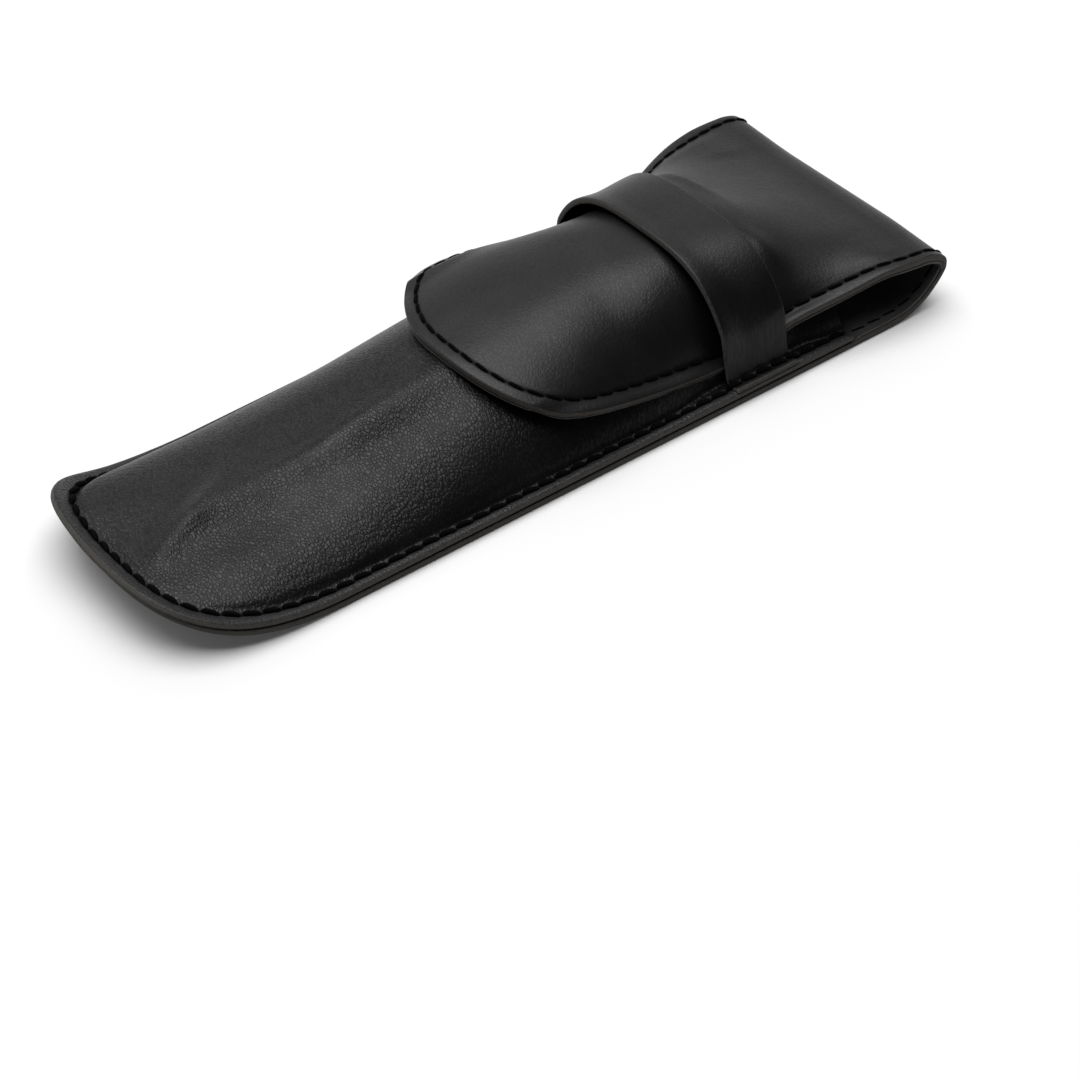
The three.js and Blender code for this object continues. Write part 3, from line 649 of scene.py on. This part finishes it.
G, D, S = rim_grid(half_w, 0.0, END_LEN, X_MOUTH, END_POW, RIM_COLS, 40, 0.5, extra=(0.03, 0.08, 0.16, 0.26, 0.38))
PH = along(S)[:, None]
X, Y = G[..., 0], G[..., 1]
Z = front_face(X, Y, D)
top = np.stack([X, Y, Z], -1)
E = np.minimum(D, X_MOUTH - X + 0.0)
E = np.maximum(E, 0)
N = normals(top, lambda P: np.array([0, 0, 1.0]), fan=lambda P: P[:, 0] < END_LEN + 0.01)
drop = rounded(E, EDGE_R)
relief = rim_swell(D) - seam_dip(PH, D, seam_in(X)) * (1 - smooth(KX0 - 1.5, KX0 - 0.2, X) * (1 - smooth(KX1 + 0.2, KX1 + 1.5, X)))
T = top + N * (relief - drop)[..., None]
under = 1.17 + 0.0 * D
B = top - N * (under - drop * 0.8)[..., None]
front = sheet_piece("front_panel_leather", T, B, [GRAINED], G, E)
at = front.data.attributes.new("seam", "FLOAT_VECTOR", "POINT")


def rim_coords(o, path_fn, at_inset):
    """Writes each vertex's length along the rim and distance in from it, for the crimp near the stitches."""
    fl = np.zeros(len(o.data.vertices) * 3, np.float32)
    o.data.attributes["flat"].data.foreach_get("vector", fl)
    fl = fl.reshape(-1, 3)
    s, d = path_fn(fl[:, 0], fl[:, 1])
    inset = at_inset(fl[:, 0])
    a = o.data.attributes.get("seam") or o.data.attributes.new("seam", "FLOAT_VECTOR", "POINT")
    a.data.foreach_set("vector", np.stack([s, d, inset], -1).astype(np.float32).ravel())


def nearest_on_rim(hw, tip, focus, end, power):
    R, W = focus - tip, float(hw(focus))
    x1 = np.linspace(end, focus, 600)
    a = np.linspace(math.pi / 2, 0, 400)[1:]
    px = np.concatenate([x1, focus - R * np.cos(a) ** (2 / power)])
    py = np.concatenate([hw(x1), W * np.sin(a) ** (2 / power)])
    s = np.concatenate([[0], np.cumsum(np.hypot(np.diff(px), np.diff(py)))])

    def f(x, y):
        ay = np.abs(y)
        out_s, out_d = np.zeros(len(x)), np.zeros(len(x))
        for k in range(0, len(x), 4000):
            q = (x[k : k + 4000, None] - px) ** 2 + (ay[k : k + 4000, None] - py) ** 2
            i = q.argmin(1)
            out_s[k : k + 4000], out_d[k : k + 4000] = s[i], np.sqrt(q[np.arange(len(i)), i])
        return np.where(y > 0, 2 * s[-1] - out_s, out_s), out_d

    return f


rim_coords(front, nearest_on_rim(half_w, 0.0, END_LEN, X_MOUTH, END_POW), seam_in)
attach(front, "root")
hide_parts("front_panel")

# lining inside the front panel
LCOLS = [0, 0.05, 0.12, 0.22, 0.5, 1.0, 1.8]
G, D, S = rim_grid(half_w, 0.0, END_LEN, 138.0, END_POW, LCOLS, 22, 1.2, extra=(0.05, 0.15, 0.3), start=5.2)
X, Y = G[..., 0], G[..., 1]
Z = front_face(X, Y, D)
top = np.stack([X, Y, Z], -1)
N = normals(top, lambda P: np.array([0, 0, 1.0]), fan=lambda P: P[:, 0] < END_LEN + 0.01)
E = np.maximum(np.minimum(D - 5.2, 138.0 - X), 0)
dr = rounded(E, 0.15)
T = top - N * (1.30 + dr)[..., None]
B = top - N * (1.85 - dr)[..., None]
B[..., 2] = np.maximum(B[..., 2], lift(X, Y) + 2.15)
T[..., 2] = np.maximum(T[..., 2], B[..., 2] + 0.12)
front_lining = sheet_piece("front_lining_suede", T, B, [SUEDE], G, E, wear=0.05)
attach(front_lining, "root")
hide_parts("front_lining")

# ------------------------------------------------------------------ back panel with the lower half of the fold


def back_w(p):
    return half_w(np.minimum(p, XF))


def low_weight(p):
    """0 before the fold, 1 at its middle, by how far round the fold the leather is."""
    return smooth(P_LOW - 11.0, P_LOW, p)


def high_weight(p):
    return 1 - smooth(P_HIGH - 10.5, P_HIGH, p)


def bend(o, a, b, start, end, weight):
    """Bakes o's transform into its mesh and works out weights by place in the flat pattern; the weights are not used,
    and o is not blended between the two bodies.
    """
    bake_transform(o)
    fl = np.zeros(len(o.data.vertices) * 3, np.float32)
    o.data.attributes["flat"].data.foreach_get("vector", fl)
    w = weight(fl.reshape(-1, 3)[:, 0]).astype(np.float32)
    return o


ROOT_TO_SPINE = ("root", "spine", to_frame((XF, 0, 0)), to_frame((LENGTH, 0, FOLD_R)))
SPINE_TO_FLAP = ("spine", "flap", to_frame((LENGTH, 0, FOLD_R)), to_frame((XF, 0, 2 * FOLD_R)))

BCOLS = [0, 0.03, 0.08, 0.15, 0.24, 0.36, 0.55, 0.8, 1.1, 1.4, 1.65, 1.9, 2.15, 2.45, 2.9, 3.6, 4.6]
G, D, S = rim_grid(back_w, 0.0, END_LEN, P_LOW, END_POW, BCOLS, 18, 0.55)
PH = along(S)[:, None]
X, Y = G[..., 0], G[..., 1]
drop = rounded(D, 0.30)
dip = seam_dip(PH, D, seam_in(X), depth=0.16)
outer = fold_down(X, Y, 0.0 + drop + dip * 0.9)
inner = fold_down(X, Y, 1.25 - drop)
back = sheet_piece("back_panel_leather", inner, outer, [BACK], G, D, caps=(False, False))
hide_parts("back_panel", "spine_outer")
bend(back, *ROOT_TO_SPINE, low_weight)

G, D, S = rim_grid(back_w, 0.0, END_LEN, P_LOW, END_POW, [0, 0.05, 0.12, 0.3, 0.8, 1.3, 2.0, 3.0, 5.0], 16, 0.9, start=0.25)
X, Y = G[..., 0], G[..., 1]
# inside the pocket the lining stops at the seam allowance; its hidden margin is thinned away under the rim
E = D - 0.25
pocket = 1 - smooth(X_MOUTH + 0.4, X_MOUTH + 1.4, X)
thick = 0.55 * (1 - pocket * (1 - smooth(5.0, 6.6, D))) + 0.004
dr = np.minimum(rounded(E, 0.15), thick * 0.4)
dipl = seam_dip(along(S)[:, None], D, depth=0.14) * (1 - pocket)
lin_top = fold_down(X, Y, 1.27 + thick - dr - dipl)
lin_bot = fold_down(X, Y, 1.27 + dr * 0.5)
back_lining = sheet_piece("back_lining_suede", lin_top, lin_bot, [SUEDE], G, E, caps=(False, False), bulge=0.02, wear=0.05)
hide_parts("back_lining", "spine_lining")
bend(back_lining, *ROOT_TO_SPINE, low_weight)

# ------------------------------------------------------------------ flap and tongue with the upper half of the fold
F_LEATHER, F_LINING = 1.25, 0.55


def flap_out(p, y):
    z_top = flap_face(np.minimum(p, XF), y)
    slack = 0.10 * noise(p / 15 + 9, y / 8 + 2, 5) + 0.05 * noise(p / 6, y / 5, 6)
    z_top = z_top + slack * smooth(8, 14, 28 - np.abs(y)) * (1 - smooth(150, 155, p))
    fx, fz = fold_at(S_TOP - np.clip(p - XF, 0, None), 0.0, y)
    # meet the fold exactly: the flap's own cross-section hands over to the fold's in the last few millimetres
    jx, jz = fold_at(S_TOP + 0 * y, 0.0, y)
    z_top = z_top + (jz - flap_face(XF + 0 * y, y)) * smooth(146, XF, p)
    # the tongue sits slightly askew, and its far corner is cut back
    skew = 2.6 * smooth(2, 22, y) * (1 - smooth(68, 92, p))
    out = 0.6 * smooth(8, 27, y) * smooth(127, 142, p)
    return np.stack([np.where(p > XF, fx, p + (jx - XF) * smooth(150, XF, p)) + skew, y + out, np.where(p > XF, fz, z_top)], -1)


def outwards(P):
    v = np.zeros_like(P)
    v[..., 0] = np.clip(P[..., 0] - XF, 0, None)
    v[..., 2] = np.where(P[..., 0] > XF, P[..., 2] - 7.0, 1.0)
    return v


def flap_width(p):
    return flap_w(np.minimum(p, XF))


G, D, S = rim_grid(flap_width, TIP_X, TIP_X + TIP_LEN, P_HIGH, TIP_POW, RIM_COLS, 34, 0.5)
PH = along(S)[:, None]
X, Y = G[..., 0], G[..., 1]
top = flap_out(X, Y)
N = normals(top, outwards, fan=lambda P: P[:, 0] < TIP_X + TIP_LEN + 0.01)
inset = FLAP_SEAM + (SEAM - FLAP_SEAM) * smooth(140, XF, X)
drop = rounded(D, EDGE_R)
relief = 0.05 * np.exp(-(((D - 1.0) / 0.6) ** 2)) - seam_dip(PH, D, inset, depth=0.15, width=0.36)
T = top + N * (relief - drop)[..., None]
B = top - N * (F_LEATHER - drop * 0.5)[..., None]
flap = sheet_piece("flap_tongue_leather", T, B, [SMOOTH], G, D, caps=(False, False))
rim_coords(flap, nearest_on_rim(flap_width, TIP_X, TIP_X + TIP_LEN, P_HIGH, TIP_POW), lambda x: FLAP_SEAM + (SEAM - FLAP_SEAM) * smooth(140, XF, x))
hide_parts("flap_outer", "tongue_outer")
bend(flap, *SPINE_TO_FLAP, high_weight)

T = top - N * (F_LEATHER + 0.03 + rounded(D, 0.15) * 0.4)[..., None]
B = top - N * (F_LEATHER + F_LINING - rounded(D, 0.2) - seam_dip(PH, D, inset, depth=0.12, width=0.36))[..., None]
flap_lining = sheet_piece("flap_tongue_lining", T, B, [SUEDE], G, D, caps=(False, False), wear=0.12)
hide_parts("flap_lining", "tongue_lining")
bend(flap_lining, *SPINE_TO_FLAP, high_weight)


# ------------------------------------------------------------------ keeper band
FOOT = 3.2  # top of the keeper's thinned feet, sewn down on the rim


def keeper_face(x, y):
    w = half_w(x)
    rise = crown(x) + 0.25 - 2.85
    flare = 0.9 * smooth(117, 126.3, x) + 0.9 * (1 - smooth(112.5, 118, x))
    return 4.05 + (rise + 0.25 * (1 - smooth(112.5, 116, x))) * arch(y / (w - 2.7 + flare), 3.2, 1.6)


n_y = 150
q = np.linspace(-1, 1, n_y)
q = np.sign(q) * (1 - (1 - np.abs(q)) ** 1.35)  # closer together towards the feet
q = np.unique(np.concatenate([q, [-0.9995, -0.997, -0.993, -0.987, -0.979, 0.979, 0.987, 0.993, 0.997, 0.9995]]))
xs = np.array([0, 0.03, 0.08, 0.15, 0.24, 0.36, 0.52, 0.8, 1.2] + list(np.arange(1.7, KX1 - KX0 - 1.6, 0.5)) + [KX1 - KX0 - v for v in (1.2, 0.8, 0.52, 0.36, 0.24, 0.15, 0.08, 0.03, 0)]) + KX0
XX, QQ = np.meshgrid(xs, q, indexing="ij")
YY = QQ * (half_w(XX) + 0.02)
ZZ = keeper_face(XX, YY)
d_rim = half_w(XX) + 0.02 - np.abs(YY)
foot = smooth(2.4, 4.2, d_rim)
ZZ = FOOT + (ZZ - FOOT) * foot
top = np.stack([XX, YY, ZZ], -1)
N = normals(top, lambda P: np.array([0, 0, 1.0]))
E = np.maximum(np.minimum(np.minimum(XX - KX0, KX1 - XX), d_rim), 0)
drop = rounded(E, EDGE_R)
relief = rim_swell(d_rim) - seam_dip(XX, d_rim, depth=0.2)
T = top + N * (relief - drop)[..., None]
B = top - N * (1.2 - 0.68 * (1 - smooth(2.0, 5.0, d_rim)) - drop * 0.5)[..., None]
keeper = sheet_piece("keeper_band_leather", T, B, [SMOOTH], np.stack([XX * 1.0, YY + 200.0], -1), E, side_cols=(0, -1), bulge=0.03)
a = keeper.data.attributes.new("seam", "FLOAT_VECTOR", "POINT")
fl = np.zeros(len(keeper.data.vertices) * 3, np.float32)
keeper.data.attributes["flat"].data.foreach_get("vector", fl)
fl = fl.reshape(-1, 3)
a.data.foreach_set("vector", np.stack([fl[:, 0], np.maximum(half_w(fl[:, 0]) - np.abs(fl[:, 1] - 200), 0), np.full(len(fl), SEAM)], -1).astype(np.float32).ravel())
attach(keeper, "root")
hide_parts("keeper_band")


# ------------------------------------------------------------------ stitches
def stitch_run(name, path, up, material, radius=0.31, pitch=PITCH, sink=0.75, height=0.16, slant=0.2, flat_p=None, gap=0.16):
    """Separate stitches along a path of surface points. Each comes up out of one needle hole, lies on the leather and goes
    down the next. up holds the surface normals, and path is stepped by whole stitches."""
    seg = np.linalg.norm(np.diff(path, axis=0), axis=1)
    s = np.concatenate([[0], np.cumsum(seg)])
    n = max(1, round(s[-1] / pitch))
    step = s[-1] / n
    at = lambda v, A: np.stack([np.interp(v, s, A[:, k]) for k in range(A.shape[1])], -1)
    u = np.array([0.0, 0.03, 0.08, 0.15, 0.26, 0.4, 0.5, 0.6, 0.74, 0.85, 0.92, 0.97, 1.0])
    lift_u = np.interp(u, [0, 0.03, 0.08, 0.15, 0.26, 0.5, 0.74, 0.85, 0.92, 0.97, 1], [-sink, -0.42, -0.12, 0.05, 0.85, 1.0, 0.85, 0.05, -0.12, -0.42, -sink])
    lift_u = np.where(lift_u > 0, lift_u * height, lift_u)
    lift_u = np.interp(u, [0, 0.04, 0.10, 0.20, 0.5, 0.80, 0.90, 0.96, 1], [-sink, -0.30, 0.02, height * 0.85, height, height * 0.85, 0.02, -0.30, -sink])
    sides = 8
    V, F, fl = [], [], []
    count = 0
    for k in range(n):
        v = (k + gap / 2 + u * (1 - gap)) * step
        C, U = at(v, path), at(v, up)
        U /= np.linalg.norm(U, axis=1, keepdims=True)
        tan = np.gradient(C, axis=0)
        tan /= np.linalg.norm(tan, axis=1, keepdims=True)
        side = np.cross(tan, U)
        side /= np.linalg.norm(side, axis=1, keepdims=True)
        C = C + U * lift_u[:, None] + side * (slant * (u - 0.5) * 2)[:, None]
        tan = np.gradient(C, axis=0)
        tan /= np.linalg.norm(tan, axis=1, keepdims=True)
        b1 = np.cross(tan, side)
        b1 /= np.linalg.norm(b1, axis=1, keepdims=True)
        b2 = np.cross(tan, b1)
        fat = radius * (0.86 + 0.14 * np.sin(np.pi * u))
        ring = 2 * np.pi * np.arange(sides) / sides
        R = C[:, None] + fat[:, None, None] * (b1[:, None] * np.cos(ring)[None, :, None] + b2[:, None] * np.sin(ring)[None, :, None] * 1.08)
        V.append(R.reshape(-1, 3))
        m = len(u)
        i, j = np.meshgrid(np.arange(m - 1), np.arange(sides), indexing="ij")
        a = count + i * sides + j
        b = count + i * sides + (j + 1) % sides
        F.append(np.stack([a, b, b + sides, a + sides], -1).reshape(-1, 4))
        if flat_p is None:
            fx = np.repeat(v, sides)
        else:
            fx = np.repeat(np.interp(v, s, flat_p), sides)
        fl.append(np.stack([fx, np.tile(np.arange(sides) / sides, m), np.repeat(v, sides)], -1))
        count += m * sides
    return make_mesh(name, np.concatenate(V), np.concatenate(F), {"flat": np.concatenate(fl)}, [material], merge=False)


def rim_path(hw, tip, focus, end, power, inset, step=0.25):
    """Flat points along a line inset from the rim, from end on one side round the tip to end on the other."""
    R, W = focus - tip, float(hw(focus))
    x1 = np.linspace(end, focus, 900)
    a = np.linspace(math.pi / 2, 0, 1500)[1:]
    x = np.concatenate([x1, focus - R * np.cos(a) ** (2 / power)])
    y = np.concatenate([-hw(x1), -W * np.sin(a) ** (2 / power)])
    y[-1] = 0
    s = np.concatenate([[0], np.cumsum(np.hypot(np.diff(x), np.diff(y)))])
    tx, ty = np.gradient(x, s), np.gradient(y, s)
    nx, ny = -ty, tx
    flip = np.where(ny < 0, -1, 1)
    nx, ny = nx * flip, ny * flip
    nx[-1], ny[-1] = 1, 0
    d = inset(x) if callable(inset) else inset
    x, y = x + nx * d, y + ny * d
    s = np.concatenate([[0], np.cumsum(np.hypot(np.diff(x), np.diff(y)))])
    at = np.linspace(0, s[-1], int(s[-1] / step))
    x, y = np.interp(at, s, x), np.interp(at, s, y)
    return np.concatenate([x, x[-2::-1]]), np.concatenate([y, -y[-2::-1]])


# needle side of the body seam, over the keeper's feet and down again at the mouth
x, y = rim_path(half_w, 0.0, END_LEN, X_MOUTH - 0.6, END_POW, seam_in)
over = smooth(KX0 - 0.9, KX0 - 0.1, x) * (1 - smooth(KX1 + 0.1, KX1 + 0.9, x))
z = lift(x, y) + RIM - 0.16 + (FOOT - RIM) * over
path = np.stack([x, y, z], -1)
e = 0.02
up = np.stack([-(lift(x + e, y) - lift(x - e, y)) / (2 * e), -(lift(x, y + e) - lift(x, y - e)) / (2 * e), np.ones_like(x)], -1)
body_stitches = stitch_run("body_stitches_front", path, up, THREAD, radius=0.50, gap=0.16, slant=0.32, height=0.26)
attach(body_stitches, "root")
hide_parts("body_thread_front")

# bobbin side, on the back and round the lower half of the fold
x, y = rim_path(back_w, 0.0, END_LEN, P_LOW, END_POW, seam_in)
path = fold_down(x, y, 0.12 + 0 * x)
up = fold_down(x, y, 0 * x) - fold_down(x, y, 0 * x + 1)
back_stitches = stitch_run("body_stitches_back", path, up, THREAD, height=0.02, radius=0.25, flat_p=x)
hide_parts("body_thread_back", "spine_thread_left", "spine_thread_right")
bend(back_stitches, *ROOT_TO_SPINE, low_weight)

# inside of the fold, on the lining past the mouth
inner_runs = []
for sgn, tag in ((-1, "left"), (1, "right")):
    x = np.linspace(X_MOUTH + 1.0, P_LOW, 120)
    y = sgn * (back_w(x) - SEAM)
    path = fold_down(x, y, 1.27 + 0.55 - 0.12 + 0 * x)
    up = fold_down(x, y, 0 * x + 1) - fold_down(x, y, 0 * x)
    o = stitch_run("inner_stitches_" + tag, path, up, THREAD, height=0.03, radius=0.22, flat_p=x)
    bend(o, *ROOT_TO_SPINE, low_weight)


# flap and tongue, both faces
def flap_frame(x, y):
    e = 0.05
    P = flap_out(x, y)
    a = flap_out(x + e, y) - flap_out(x - e, y)
    b = flap_out(x, y + e) - flap_out(x, y - e)
    n = np.cross(a, b)
    n /= np.linalg.norm(n, axis=-1, keepdims=True)
    n = np.where((n * outwards(P)).sum(-1, keepdims=True) < 0, -n, n)
    return P, n


x, y = rim_path(flap_width, TIP_X, TIP_X + TIP_LEN, P_HIGH, TIP_POW, lambda x: FLAP_SEAM + (SEAM - FLAP_SEAM) * smooth(140, XF, x))
P, n = flap_frame(x, y)
flap_stitches = stitch_run("flap_stitches_outer", P - n * 0.12, n, THREAD, height=0.12, radius=0.32, flat_p=x, gap=0.12, slant=0.16)
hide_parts("flap_thread_left", "flap_thread_right", "tongue_thread")
bend(flap_stitches, *SPINE_TO_FLAP, high_weight)
flap_under = stitch_run("flap_stitches_inner", P - n * (F_LEATHER + F_LINING - 0.12), -n, THREAD, height=0.05, radius=0.23, flat_p=x)
bend(flap_under, *SPINE_TO_FLAP, high_weight)

# ------------------------------------------------------------------ floor, light, camera
floor_mesh = bpy.data.meshes.new("floor")
floor_mesh.from_pydata([(-3, -3, -0.00005), (3, -3, -0.00005), (3, 3, -0.00005), (-3, 3, -0.00005)], [], [(0, 1, 2, 3)])
floor = bpy.data.objects.new("floor", floor_mesh)
bpy.context.scene.collection.objects.link(floor)
fm = Nodes("floor_white")
fm.join(fm.put("ShaderNodeBsdfPrincipled", {"Base Color": (0.46, 0.46, 0.46, 1), "Roughness": 0.9, "Specular IOR Level": 0.1, "Emission Color": (1, 1, 1, 1), "Emission Strength": 0.05}), fm.out.inputs["Surface"])
floor_mesh.materials.append(fm.mat)


def area(name, at, to, w, h, power, color=(1, 1, 1)):
    light = bpy.data.lights.new(name, "AREA")
    light.shape, light.size, light.size_y, light.energy, light.color = "RECTANGLE", w, h, power, color
    o = bpy.data.objects.new(name, light)
    bpy.context.scene.collection.objects.link(o)
    o.location = at
    o.rotation_mode = "QUATERNION"
    o.rotation_quaternion = (Vector(to) - Vector(at)).to_track_quat("-Z", "Y")
    return o


area("softbox_top", (0.07, 0.10, 1.17), (-0.02, -0.03, 0), 1.15, 1.15, 29.5)
world = bpy.data.worlds.new("studio")
world.use_nodes = True
wt = world.node_tree
# a light room behind the table and a dim one in front of it, by direction
tc = wt.nodes.new("ShaderNodeTexCoord")
dp = wt.nodes.new("ShaderNodeVectorMath")
dp.operation = "DOT_PRODUCT"
wt.links.new(tc.outputs["Generated"], dp.inputs[0])
dp.inputs[1].default_value = (0.22, 0.76, 0.61)
mr = wt.nodes.new("ShaderNodeMapRange")
mr.interpolation_type = "SMOOTHSTEP"
mr.inputs["From Min"].default_value, mr.inputs["From Max"].default_value = 0.15, 1.0
mr.inputs["To Min"].default_value, mr.inputs["To Max"].default_value = 0.07, 1.15
wt.links.new(dp.outputs["Value"], mr.inputs["Value"])
wt.links.new(mr.outputs["Result"], wt.nodes["Background"].inputs[1])
wt.nodes["Background"].inputs[0].default_value = (1, 1, 1, 1)
bpy.context.scene.world = world
bpy.context.scene.view_settings.view_transform = "Standard"

cam_data = bpy.data.cameras.new("camera")
cam = bpy.data.objects.new("camera", cam_data)
bpy.context.scene.collection.objects.link(cam)
cam_data.sensor_width, cam_data.lens = 36.0, 100.0
cam_data.clip_start, cam_data.clip_end = 0.01, 20
A, EL, ROLL, DIST = math.radians(-36.17), math.radians(40.86), math.radians(-2.4), 0.49651
target = Vector((-0.0168, -0.03346, 0.0))
backv = Vector((math.sin(A) * math.cos(EL), -math.cos(A) * math.cos(EL), math.sin(EL)))
right = Vector((math.cos(A), math.sin(A), 0))
fw = -backv
upv = right.cross(fw)
r2 = right * math.cos(ROLL) + upv * math.sin(ROLL)
u2 = -right * math.sin(ROLL) + upv * math.cos(ROLL)
rot = Matrix((r2, u2, backv)).transposed()
cam.matrix_world = Matrix.Translation(target + backv * DIST) @ rot.to_4x4()
bpy.context.scene.camera = cam

bpy.context.view_layer.update()
